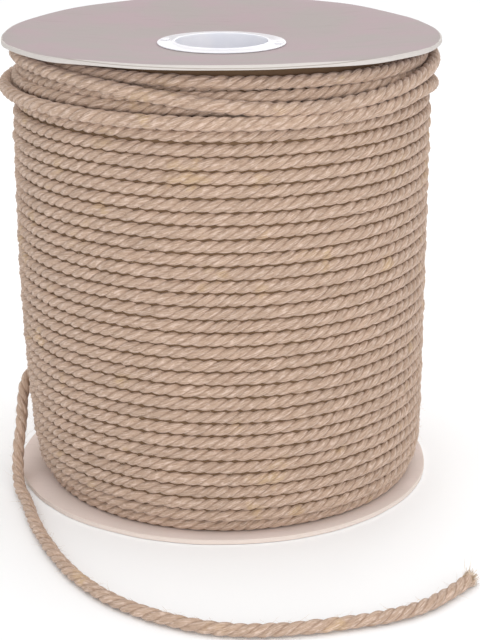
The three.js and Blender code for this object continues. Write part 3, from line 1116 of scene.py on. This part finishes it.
@dataclass
class Winding:
    """The wound rope: level turns, the slack turns over them and the layers that show between."""

    jute: bpy.types.Material
    fibre: bpy.types.Material
    # Dark jute for the inner layers: painted shade in the grooves between turns.
    groove_shade: bpy.types.Material
    exit_turn: int = 8
    exit_azimuth: float = 165.96
    core_radius: float = 0.1215
    level_turns: int = 31
    band_start: float = 171.0
    band_cuts: tuple[float, ...] = (8.7, 17.7, 23.7, 27.42)
    band_lay_start: float = 50.0
    under_radius: float = 0.1215
    under_top: float = 0.2815
    under_turns: int = 6
    under_lay_start: float = 90.0
    dive_deg: float = 14.0
    hairs: int = 5200
    lower_line: RopeLine = field(init=False)
    exit_distance: float = field(init=False)

    def __post_init__(self) -> None:
        """Draws the line of the lower turns and of the loose end that follows them."""
        dive = self.dived(
            SHAPE.axis_line(SHAPE.jog_end, SHAPE.wound(self.exit_turn, self.exit_azimuth)),
            at_start=True,
            at_end=False,
        )
        lower = dive[:-1]
        route = smooth_route(LOOSE_ROUTE)
        whole = np.vstack([lower, route])
        gap = np.linalg.norm(lower[-1] - route[0])
        log.info("the loose end starts %.1f mm after the last wound point", gap * 1000)
        reach = np.linalg.norm(np.diff(lower, axis=0), axis=1).sum() + gap
        self.lower_line = RopeLine.through(whole, ROPE.spacing)
        self.exit_distance = float(reach)

    def dived(
        self, points: np.ndarray, at_start: bool, at_end: bool, depth: float = 0.0065
    ) -> np.ndarray:
        """Bends a line's ends inwards, under the turns beside them.

        Args:
            points: The wound line.
            at_start: Whether its start goes under.
            at_end: Whether its end goes under.
            depth: How far inwards the very end goes.

        Returns:
            The line with its ends bent in.
        """
        place = np.arange(len(points)) * WOUND_STEP
        sink = np.zeros(len(points))
        if at_start:
            sink += depth * (1 - soft_step(place / self.dive_deg))
        if at_end:
            sink += depth * (1 - soft_step(place[::-1] / self.dive_deg))
        level = points[:, :2]
        reach = np.linalg.norm(level, axis=1)
        moved = level * ((reach - sink) / reach)[:, None]
        return np.column_stack([moved, points[:, 2]])

    def stretch(
        self,
        name: str,
        line: RopeLine,
        first: float,
        last: float,
        start: float,
        rope: LaidRope = PRESSED_ROPE,
    ) -> None:
        """One piece of the winding.

        Args:
            name: The piece's name.
            line: The line that it lies on.
            first: Distance along the line of the piece's start.
            last: Distance along the line of its end.
            start: Distance along the rope at the line's start.
            rope: The rope, pressed or slack.
        """
        piece = rope.skin(name, line, line.step_at(first), line.step_at(last), start)
        dress(piece, self.jute, Slot.JUTE, Node.WINDING)

    def bands(self) -> None:
        """The level and slack turns, in pieces of a few turns each."""
        turn_length = 2 * math.pi * (SHAPE.outer_radius - ROPE.diameter / 2)
        self.stretch("turns_lowest", self.lower_line, 0.0, self.exit_distance, 0.0)
        after_exit = SHAPE.wound(self.exit_turn, self.band_start)
        end = SHAPE.wound(SHAPE.all_turns, SHAPE.jog_start)
        points = self.dived(SHAPE.axis_line(after_exit, end), at_start=True, at_end=True)
        line = RopeLine.through(points, ROPE.spacing)
        cuts = [0.0, *(turn_length * n for n in self.band_cuts), line.reach[-1]]
        names = ("turns_lower", "turns_middle", "turns_upper", "turns_slack", "turns_outer")
        for name, first, last in zip(names, cuts, cuts[1:]):
            rope = SLACK_ROPE if name == "turns_outer" else PRESSED_ROPE
            self.stretch(name, line, first, last, self.band_lay_start, rope)

    def under_layer(self) -> None:
        """The layer below the slack turns, which shows in the gaps between them."""
        wound = np.arange(0.0, 360.0 * self.under_turns, WOUND_STEP)
        azimuth = np.radians(wound)
        height = self.under_top - SHAPE.pitch * (self.under_turns - wound / 360.0)
        points = np.stack(
            [self.under_radius * np.cos(azimuth), self.under_radius * np.sin(azimuth), height],
            axis=1,
        )
        line = RopeLine.through(points, ROPE.spacing)
        self.stretch("turns_below_slack", line, 0.0, line.reach[-1], self.under_lay_start)

    def core_levels(self) -> list[float]:
        """Heights of the core's rings: one at each turn and one at each groove of the level part."""
        low = REEL.board + 0.0005
        half = SHAPE.pitch / 2
        turns = [SHAPE.first_turn + half * n for n in range(2 * self.level_turns)]
        return [low, *(level for level in turns if level > low)]

    def core(self) -> None:
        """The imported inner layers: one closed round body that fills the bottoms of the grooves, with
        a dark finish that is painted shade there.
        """
        levels = self.core_levels()
        inner = REEL.tube_outer + REEL.gap
        top = REEL.middle_height - REEL.board - 0.0006
        Bench.clear()
        bpy.ops.mesh.primitive_circle_add(
            vertices=144, radius=self.core_radius, location=(0, 0, levels[0])
        )
        body = bpy.context.object
        body.name = body.data.name = "inner_layers"
        Bench.settle(body)
        Bench.edit(body)
        bpy.ops.mesh.select_all(action="SELECT")
        for low, high in zip([*levels], [*levels[1:], top]):
            bpy.ops.mesh.extrude_edges_move()
            bpy.ops.transform.translate(value=(0, 0, high - low))
        bpy.ops.object.mode_set(mode="OBJECT")
        for level in (levels[0], top):
            Bench.edit(body)
            Bench.select_edges(
                body, lambda a, b, z=level: abs(a.z - z) < 1e-5 and abs(b.z - z) < 1e-5
            )
            bpy.ops.mesh.extrude_edges_move()
            share = inner / self.core_radius
            bpy.ops.transform.resize(value=(share, share, 1), center_override=(0, 0, level))
            bpy.ops.object.mode_set(mode="OBJECT")
        Bench.edit(body)
        Bench.select_edges(
            body,
            lambda a, b: abs(a.z - b.z) < 1e-5
            and abs(math.hypot(a.x, a.y) - inner) < 1e-5
            and abs(math.hypot(b.x, b.y) - inner) < 1e-5,
        )
        bpy.ops.mesh.bridge_edge_loops()
        Bench.close_up(body)
        self.swell(body, inner)
        Bench.smooth(body, 60)
        # Painted shade: the dark finish makes the groove bottoms read as shadowed.
        dress(body, self.groove_shade, Slot.JUTE, Node.WINDING)

    def swell(self, body: bpy.types.Object, inner: float) -> None:
        """Brings the core's outer wall up to the bottoms of the grooves, and its top to the board.

        Args:
            body: The core, still a plain round.
            inner: Radius of its inner wall, which stays.
        """
        highest = self.core_levels()[-1] + 1e-5
        rng = np.random.default_rng(17)
        for vertex in body.data.vertices:
            radius = math.hypot(vertex.co.x, vertex.co.y)
            if radius < inner + 1e-4:
                continue
            azimuth = np.array([math.atan2(vertex.co.y, vertex.co.x)])
            if vertex.co.z > highest:
                vertex.co.z += float(REEL.dish_rise(np.array([radius]), azimuth)[0]) - 0.0004
                continue
            place = (vertex.co.z - SHAPE.first_turn) / SHAPE.pitch + 1
            below = min(max(1, math.floor(place + 1e-6)), self.level_turns)
            above = min(below + 1, self.level_turns)
            crest = min(SHAPE.turn_at(below, azimuth)[1][0], SHAPE.turn_at(above, azimuth)[1][0])
            wanted = crest - SHAPE.groove + rng.uniform(-0.0002, 0.0002)
            vertex.co.x *= wanted / radius
            vertex.co.y *= wanted / radius

    def fuzz(self) -> None:
        """Short hairs that stand off the wound rope."""
        rng = np.random.default_rng(31)
        count = self.hairs
        azimuth = rng.uniform(0, 2 * math.pi, count)
        turn = rng.integers(1, SHAPE.all_turns + 1, count)
        height = np.zeros(count)
        radius = np.zeros(count)
        for number in range(1, SHAPE.all_turns + 1):
            here = turn == number
            height[here], radius[here] = SHAPE.turn_at(number, azimuth[here])
        lean = rng.uniform(-0.9, 0.9, count)
        half = ROPE.diameter / 2 * 0.93
        axis = radius - ROPE.diameter / 2
        out = axis + half * np.cos(lean)
        roots = np.stack(
            [out * np.cos(azimuth), out * np.sin(azimuth), height + half * np.sin(lean)], axis=1
        )
        outward = np.stack(
            [np.cos(azimuth) * np.cos(lean), np.sin(azimuth) * np.cos(lean), np.sin(lean)], axis=1
        )
        round_way = np.stack([-np.sin(azimuth), np.cos(azimuth), np.zeros(count)], axis=1)
        sense = rng.choice([-1.0, 1.0], count)[:, None]
        stand = rng.uniform(0.12, 0.6, count)[:, None]
        ways = round_way * sense + outward * stand + rng.normal(0, 0.22, (count, 3))
        bends = rng.normal(0, 0.22, (count, 3)) + outward * rng.uniform(-0.25, 0.15, (count, 1))
        lengths = rng.uniform(*HAIR_LENGTHS, count)
        piece = Hairs().piece(
            "winding_hairs", roots, ways, bends, lengths, rng.uniform(1e-4, 2.2e-4, count)
        )
        dress(piece, self.fibre, Slot.JUTE, Node.WINDING)

    def build(self) -> None:
        """Makes every piece of the winding."""
        self.core()
        self.under_layer()
        self.bands()
        self.fuzz()


@dataclass
class LooseEnd:
    """The free end: it leaves the winding on the left, drops over the flange and sweeps round."""

    jute: bpy.types.Material
    fibre: bpy.types.Material
    winding: Winding
    fray_length: float = 0.006
    brush_radius: float = 0.0036
    fibres: int = 330
    strays: int = 16
    hairs: int = 420

    def rope(self) -> tuple[bpy.types.Object, np.ndarray]:
        """The laid rope, and its centreline's points."""
        line = self.winding.lower_line
        first = line.step_at(self.winding.exit_distance)
        last = len(line.points) - 1
        piece = ROPE.skin("loose_rope", line, first, last)
        return piece, line.points[first : last + 1]

    def fray(self, path: np.ndarray) -> bpy.types.Object:
        """The brush of fibres at the cut end, with a few that stand well off."""
        rng = np.random.default_rng(44)
        tip = path[-1]
        ahead = path[-1] - path[-3]
        ahead /= np.linalg.norm(ahead)
        side = np.cross(ahead, (0, 0, 1))
        side /= np.linalg.norm(side)
        rise = np.cross(side, ahead)
        angle = rng.uniform(0, 2 * math.pi, self.fibres)
        reach = np.sqrt(rng.uniform(0, 1, self.fibres)) * self.brush_radius
        spread = reach[:, None] * (
            np.cos(angle)[:, None] * side[None, :] + np.sin(angle)[:, None] * rise[None, :]
        )
        roots = tip - ahead * rng.uniform(0.001, 0.004, (self.fibres, 1)) + spread
        ways = ahead + spread / self.brush_radius * 0.12 + rng.normal(0, 0.07, (self.fibres, 3))
        bends = spread / self.brush_radius * 0.08 + rng.normal(0, 0.09, (self.fibres, 3))
        lengths = rng.uniform(0.75, 1.25, self.fibres) * self.fray_length
        stray = rng.choice(self.fibres, self.strays, replace=False)
        lengths[stray] *= rng.uniform(1.3, 1.9, self.strays)
        ways[stray] = ahead * 0.8 - side * rng.uniform(0.1, 0.9, (self.strays, 1)) + rise * rng.uniform(
            0.2, 0.8, (self.strays, 1)
        )
        thickness = rng.uniform(0.00028, 0.0005, self.fibres)
        thickness[stray] = 0.0003
        return Hairs().piece("frayed_tip", roots, ways, bends, lengths, thickness)

    def fuzz(self, path: np.ndarray) -> bpy.types.Object:
        """Short hairs along the loose rope."""
        rng = np.random.default_rng(52)
        step = rng.integers(2, len(path) - 2, self.hairs)
        along = path[step + 1] - path[step - 1]
        along /= np.linalg.norm(along, axis=1)[:, None]
        side = np.cross(along, (0.0, 0.0, 1.0))
        side /= np.linalg.norm(side, axis=1)[:, None]
        rise = np.cross(side, along)
        angle = rng.uniform(-0.2 * math.pi, 1.2 * math.pi, self.hairs)[:, None]
        outward = np.cos(angle) * side + np.sin(angle) * rise
        roots = path[step] + outward * 0.0037
        sense = rng.choice([-1.0, 1.0], self.hairs)[:, None]
        ways = along * sense + outward * rng.uniform(0.15, 0.7, (self.hairs, 1))
        ways += rng.normal(0, 0.2, (self.hairs, 3))
        bends = rng.normal(0, 0.22, (self.hairs, 3))
        lengths = rng.uniform(*HAIR_LENGTHS, self.hairs)
        thickness = rng.uniform(1e-4, 2.0e-4, self.hairs)
        return Hairs().piece("loose_hairs", roots, ways, bends, lengths, thickness)

    def build(self) -> None:
        rope, path = self.rope()
        fray = self.fray(path)
        hairs = self.fuzz(path)
        dress(rope, self.jute, Slot.JUTE, Node.LOOSE_END)
        dress(fray, self.fibre, Slot.JUTE, Node.LOOSE_END)
        dress(hairs, self.fibre, Slot.JUTE, Node.LOOSE_END)


@dataclass
class BoardFlange:
    """A round of pressed board with a hole for its bush."""

    name: str
    node: Node
    radius: float
    hole: float
    upper_face: float
    dished: bool
    finish: bpy.types.Material
    segments: int = 192
    rings: int = 9
    edge_waver: float = 0.00022
    seed: int = 3

    def ring_radii(self) -> list[float]:
        """Radii of the rings from the rim inwards, with one where a dish starts."""
        start = REEL.level_radius if self.dished else self.hole + 0.004
        return [*np.linspace(self.radius, start, self.rings)[1:], self.hole]

    def sheet(self) -> bpy.types.Object:
        """The upper face, drawn from its rim inwards ring by ring."""
        Bench.clear()
        bpy.ops.mesh.primitive_circle_add(
            vertices=self.segments, radius=self.radius, location=(0, 0, self.upper_face)
        )
        board = bpy.context.object
        board.name = board.data.name = self.name
        Bench.settle(board)
        Bench.edit(board)
        bpy.ops.mesh.select_all(action="SELECT")
        outer = self.radius
        for radius in self.ring_radii():
            bpy.ops.mesh.extrude_edges_move()
            share = radius / outer
            bpy.ops.transform.resize(
                value=(share, share, 1), center_override=(0, 0, self.upper_face)
            )
            outer = radius
        Bench.close_up(board)
        return board

    def shape(self, board: bpy.types.Object) -> None:
        """Dishes the face and makes its rim a little uneven."""
        place = np.zeros(len(board.data.vertices) * 3)
        board.data.vertices.foreach_get("co", place)
        place = place.reshape(-1, 3)
        radius = np.linalg.norm(place[:, :2], axis=1)
        azimuth = np.arctan2(place[:, 1], place[:, 0])
        if self.dished:
            place[:, 2] += REEL.dish_rise(radius, azimuth)
        rim = soft_step((radius / self.radius - 0.9) / 0.1)
        ragged = Waver(self.seed, 2 * math.pi / 9, 6)
        heave = Waver(self.seed + 1, 2 * math.pi / 4, 5)
        turn = azimuth + math.pi
        inward = self.edge_waver * rim * (1 + ragged.at(np.round(turn, 6)))
        place[:, :2] *= (1 - inward / radius)[:, None]
        place[:, 2] += self.edge_waver * rim * heave.at(turn) * (1.0 if self.dished else 0.0)
        board.data.vertices.foreach_set("co", place.ravel())
        board.data.update()

    def build(self) -> None:
        """Makes the flange and gives it its thickness and soft edges."""
        board = self.sheet()
        self.shape(board)
        if board.data.polygons[0].normal.z < 0:
            Bench.edit(board)
            bpy.ops.mesh.select_all(action="SELECT")
            bpy.ops.mesh.flip_normals()
            bpy.ops.object.mode_set(mode="OBJECT")
        Bench.modify(board, "SOLIDIFY", thickness=REEL.board, offset=-1.0)
        Bench.modify(
            board, "BEVEL", width=0.00045, segments=3, limit_method="ANGLE", angle_limit=1.0
        )
        Bench.smooth(board, 35)
        dress(board, self.finish, Slot.BOARD, self.node)


@dataclass
class Hub:
    """The moulded hub: a tube between the flanges and a collared bush at each end."""

    plastic: bpy.types.Material
    steps: int = 128
    lug_turn: float = -11.5
    lug_size: tuple[float, float, float] = (0.005, 0.007, 0.0012)
    lug_reach: float = 0.0394

    def tube(self) -> None:
        """The tube that the rope is wound on."""
        low = REEL.board + REEL.gap
        high = REEL.middle_height - REEL.board - REEL.gap
        Bench.clear()
        bpy.ops.mesh.primitive_cylinder_add(
            vertices=self.steps,
            radius=REEL.tube_outer,
            depth=high - low,
            location=(0, 0, (low + high) / 2),
            end_fill_type="NOTHING",
        )
        tube = bpy.context.object
        tube.name = tube.data.name = "hub_tube"
        Bench.settle(tube)
        Bench.modify(tube, "SOLIDIFY", thickness=REEL.tube_outer - REEL.tube_inner, offset=-1.0)
        Bench.modify(
            tube, "BEVEL", width=0.0004, segments=2, limit_method="ANGLE", angle_limit=1.0
        )
        Bench.smooth(tube, 35)
        dress(tube, self.plastic, Slot.HUB, Node.CORE_TUBE)

    def top_bush(self) -> None:
        """The top bush: a sleeve with a flat collar, and a lip round the bore."""
        seat = REEL.middle_height + REEL.gap
        face = REEL.middle_height + REEL.collar_rise
        foot = REEL.middle_height - REEL.board - REEL.sleeve_depth
        soft = 0.0006
        edge = REEL.collar_radius - soft
        lip = 0.0008
        outline = [
            (REEL.bore_radius + 0.0004, foot),
            (REEL.sleeve_outer - 0.0004, foot),
            (REEL.sleeve_outer, foot + 0.0006),
            (REEL.sleeve_outer, seat),
            (REEL.collar_radius, seat),
            *arc((edge, face - soft), soft, 0, 90, 5),
            (REEL.bore_radius + 2.8 * lip, face),
            *arc((REEL.bore_radius + lip, face), lip, 60, 180, 8),
            (REEL.bore_radius, face - 0.003),
        ]
        bush = Bench.spun("top_bush_ring", outline, self.steps)
        Bench.smooth(bush, 40)
        dress(bush, self.plastic, Slot.HUB, Node.TOP_BUSH)

    def lugs(self) -> None:
        """Two small raised lugs on the collar, on opposite sides."""
        length, width, rise = self.lug_size
        for name, side in (("left", math.pi), ("right", 0.0)):
            Bench.clear()
            bpy.ops.mesh.primitive_cube_add(
                size=1,
                location=(
                    self.lug_reach - length / 2,
                    0,
                    REEL.middle_height + REEL.collar_rise,
                ),
                scale=(length, width, rise),
            )
            lug = bpy.context.object
            lug.name = lug.data.name = f"top_bush_lug_{name}"
            Bench.settle(lug)
            Bench.edit(lug)
            bpy.ops.mesh.select_all(action="SELECT")
            bpy.ops.mesh.bevel(offset=0.0004, segments=3, affect="EDGES")
            Bench.clear()
            turn = side + math.radians(self.lug_turn)
            for vertex in lug.data.vertices:
                x, y, z = vertex.co
                vertex.co = (
                    x * math.cos(turn) - y * math.sin(turn),
                    x * math.sin(turn) + y * math.cos(turn),
                    z,
                )
            Bench.smooth(lug, 40)
            dress(lug, self.plastic, Slot.HUB, Node.TOP_BUSH)

    def bottom_bush(self) -> None:
        """The bottom bush, flush with the underside of its flange."""
        top = REEL.board + REEL.sleeve_depth
        soft = 0.0005
        outline = [
            (REEL.bore_radius + soft, 0.0),
            (REEL.collar_radius - soft, 0.0),
            (REEL.collar_radius, soft),
            (REEL.collar_radius, REEL.board),
            (REEL.sleeve_outer, REEL.board),
            (REEL.sleeve_outer, top - soft),
            (REEL.sleeve_outer - soft, top),
            (REEL.bore_radius + soft, top),
            (REEL.bore_radius, top - soft),
            (REEL.bore_radius, soft),
        ]
        bush = Bench.spun("bottom_bush_ring", outline, self.steps)
        Bench.smooth(bush, 35)
        dress(bush, self.plastic, Slot.HUB, Node.BOTTOM_BUSH)

    def build(self) -> None:
        """Makes every piece of the hub."""
        self.tube()
        self.top_bush()
        self.lugs()
        self.bottom_bush()


@dataclass
class Studio:
    """The camera, the lights and the pale floor."""

    camera_place: tuple[float, float, float] = (0.0, -1.09725, 0.4675)
    look_down_deg: float = 18.57
    look_right_deg: float = 0.61
    lens: float = 97.43
    floor_drop: float = 0.0003
    overhead_power: float = 1.8
    overhead_angle_deg: float = 100

    def camera(self) -> None:
        """The photograph's view."""
        data = bpy.data.cameras.new("reel_view")
        data.lens = self.lens
        data.sensor_width = 36.0
        data.clip_start = 0.05
        camera = bpy.data.objects.new("reel_view", data)
        camera.location = self.camera_place
        camera.rotation_euler = (
            math.radians(90 - self.look_down_deg),
            0.0,
            math.radians(-self.look_right_deg),
        )
        bpy.context.collection.objects.link(camera)
        bpy.context.scene.camera = camera

    def floor(self) -> None:
        """A pale floor just under the reel."""
        Bench.clear()
        bpy.ops.mesh.primitive_plane_add(size=8, location=(0, 0, -self.floor_drop))
        floor = bpy.context.object
        floor.name = floor.data.name = "floor"
        Bench.settle(floor)
        pale = PlainFinish("pale_floor", (0.97, 0.98, 0.99, 1), (0.96, 0.97, 0.98, 1), 3.0)
        floor.data.materials.append(pale.material())

    def light(
        self, name: str, place: Sequence[float], aim: Sequence[float], size: float, power: float
    ) -> None:
        """One soft square light.

        Args:
            name: Its name.
            place: Where it hangs.
            aim: The point that it faces.
            size: Length of its sides.
            power: Its power in watts.
        """
        data = bpy.data.lights.new(name, "AREA")
        data.size = size
        data.energy = power
        lamp = bpy.data.objects.new(name, data)
        lamp.location = place
        way = Vector(aim) - Vector(place)
        lamp.rotation_euler = way.to_track_quat("-Z", "Y").to_euler()
        bpy.context.collection.objects.link(lamp)

    def overhead(self) -> None:
        """A broad soft light from straight above, which whitens the floor."""
        data = bpy.data.lights.new("overhead", "SUN")
        data.energy = self.overhead_power
        data.angle = math.radians(self.overhead_angle_deg)
        lamp = bpy.data.objects.new("overhead", data)
        lamp.location = (0, 0, 2)
        bpy.context.collection.objects.link(lamp)

    def world(self) -> None:
        """A white surround, brightest at the level of the floor and darker overhead."""
        world = bpy.data.worlds.new("studio")
        world.use_nodes = True
        graph = Graph(world.node_tree)
        background = world.node_tree.nodes["Background"]
        way = graph.add("TexCoord").outputs["Generated"]
        overhead = graph.band(graph.dot(way, (0.0, 0.0, 1.0)), 0.05, 0.9)
        level = (0.74, 0.74, 0.74, 1.0)
        above = (0.38, 0.38, 0.38, 1.0)
        graph.feed(background.inputs["Color"], graph.blend(overhead, level, above))
        background.inputs["Strength"].default_value = 1.0
        bpy.context.scene.world = world

    def build(self) -> None:
        """Sets up the view and the light."""
        self.camera()
        self.floor()
        self.world()
        self.overhead()
        self.light("key", (0.45, -1.45, 0.35), (0.0, 0.0, 0.05), 0.7, 6.2)
        self.light("fill", (-1.1, -1.3, 0.5), (0.0, 0.0, 0.10), 1.2, 2.0)
        self.light("back", (0.2, 1.2, 0.9), (0.0, 0.0, 0.2), 1.0, 5.0)
        bpy.context.scene.view_settings.view_transform = "Standard"


def main() -> None:
    """Builds the studio and the reel, piece by piece."""
    logging.basicConfig(level=logging.INFO, format="%(name)s %(message)s")
    Studio().build()
    jute = JuteFinish("laid_jute").material()
    fibre = FibreFinish("jute_fibre").material()
    # Painted shade: darker jute for the inner layers, so the grooves between turns look dark.
    groove_shade = PlainFinish(
        "painted_groove_shade_jute", screen_colour(116, 90, 66), screen_colour(90, 70, 50)
    ).material()
    plastic = HubFinish("moulded_white").material()
    winding = Winding(jute, fibre, groove_shade)
    LooseEnd(jute, fibre, winding).build()
    winding.build()
    # Painted light: a lighter copy of the board finish, for the lit bottom board.
    painted_lit_board = BoardFinish(
        "bottom_board_painted_lit",
        REEL.flange_radius,
        face=screen_colour(226, 210, 203),
        blotch=screen_colour(222, 207, 199),
        pulp=screen_colour(196, 182, 174),
        rim=screen_colour(226, 212, 203),
        ply=screen_colour(206, 192, 182),
    )
    BoardFlange(
        "bottom_board",
        Node.BOTTOM_FLANGE,
        REEL.flange_radius,
        REEL.collar_radius + REEL.gap,
        REEL.board,
        False,
        painted_lit_board.material(),
        seed=11,
    ).build()
    BoardFlange(
        "top_board",
        Node.TOP_FLANGE,
        REEL.top_flange_radius,
        REEL.sleeve_outer + REEL.gap,
        REEL.middle_height,
        True,
        BoardFinish("top_board_grey", REEL.top_flange_radius).material(),
    ).build()
    Hub(plastic).build()
    Bench.clear()


if __name__ == "__main__":
    main()
